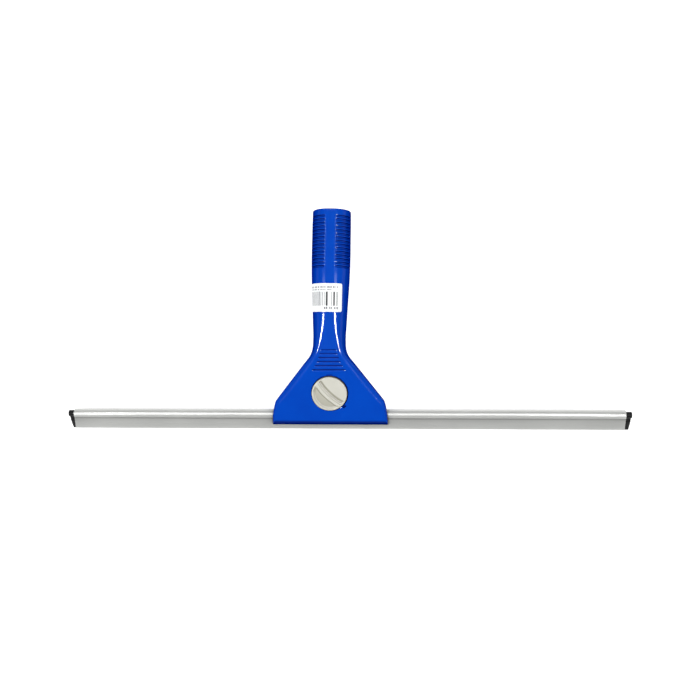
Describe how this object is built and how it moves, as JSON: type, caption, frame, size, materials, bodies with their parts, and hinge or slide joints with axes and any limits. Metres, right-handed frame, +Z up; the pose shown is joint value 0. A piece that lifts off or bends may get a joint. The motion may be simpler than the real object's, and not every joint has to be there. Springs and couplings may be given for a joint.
{
  "type": "squeegee applicator",
  "caption": "Hand squeegee with a ribbed pole-socket handle, a flat head with a turn-lock knob, and a long channel that holds a rubber blade.",
  "frame": {"origin": "middle of the bounding box in X and Y, on the floor that the rubber edge and the tail rim lie on", "axes": "+X along the channel, +Y from the rubber edge towards the handle's tail, +Z up, out of the knob side"},
  "size_m": [0.46, 0.1781, 0.0336],
  "materials": {
    "handle": "glossy injection moulded blue plastic",
    "knob": "satin moulded warm grey plastic",
    "slider": "natural white acetal",
    "spring_steel": "spring steel",
    "steel": "zinc plated steel",
    "channel": "satin anodised extrusion",
    "rubber": "smooth black rubber",
    "label": null
  },
  "bodies": {
    "handle": {"handle_body": "handle", "price_label": "label"},
    "knob": {"lock_knob": "knob", "spring_washer": "spring_steel", "flat_washer": "steel", "knob_screw": "steel"},
    "slider": {"clamp_slider": "slider"},
    "blade": {"blade_channel": "channel", "rubber_blade": "rubber"}
  },
  "joints": [
    {"name": "knob_turn", "type": "hinge", "parent": "handle", "child": "knob", "pos_m": [-0.0128, -0.05704, 0.0156], "axis": [0, -0.2756, 0.9613], "range_deg": [0, 90]},
    {"name": "lock_slide", "type": "slide", "parent": "handle", "child": "slider", "axis": [0, 0.9613, 0.2756], "range_m": [0, 0.0025]},
    {"name": "channel_slide", "type": "slide", "parent": "handle", "child": "blade", "axis": [1, 0, 0], "range_m": [-0.19, 0.165]}
  ],
  "couplings": [
    {"joint": "lock_slide", "follows": "knob_turn", "m_per_rad": 0.0015915}
  ]
}
